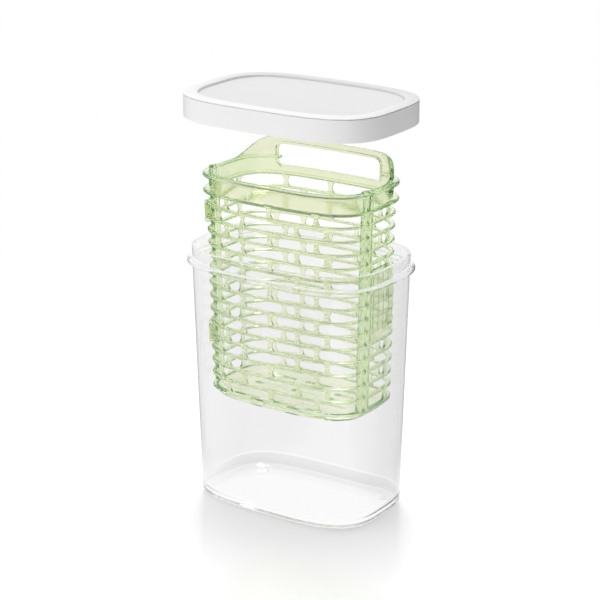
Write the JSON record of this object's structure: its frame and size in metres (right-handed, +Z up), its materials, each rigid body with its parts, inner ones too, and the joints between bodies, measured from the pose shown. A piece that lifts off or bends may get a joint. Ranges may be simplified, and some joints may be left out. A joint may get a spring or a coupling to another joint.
{
  "type": "herb keeper",
  "caption": "Upright clear container with a slotted lift-out basket that splits for loading, a finger handle on the basket and a push-on lid, for keeping cut herbs fresh in a refrigerator.",
  "frame": {"origin": "middle of the base, on the plane that the feet stand on", "axes": "+Z up, +X along the length towards the latch end of the basket, +Y to the back, where the handle is"},
  "size_m": [0.1574, 0.109, 0.2993],
  "materials": {
    "clear_plastic": "clear, polished",
    "green_plastic": "translucent, satin",
    "white_plastic": "opaque, satin"
  },
  "bodies": {
    "container": {"container": "clear_plastic"},
    "basket": {"basket_front": "green_plastic", "basket_back": "green_plastic"},
    "lid": {"lid": "white_plastic"}
  },
  "joints": [
    {"name": "basket_lift", "type": "slide", "parent": "container", "child": "basket", "axis": [0, 0, 1], "range_m": [-0.0758, 0.12]},
    {"name": "lid_lift", "type": "slide", "parent": "basket", "child": "lid", "axis": [0, 0, 1], "range_m": [-0.026, 0.04]}
  ]
}
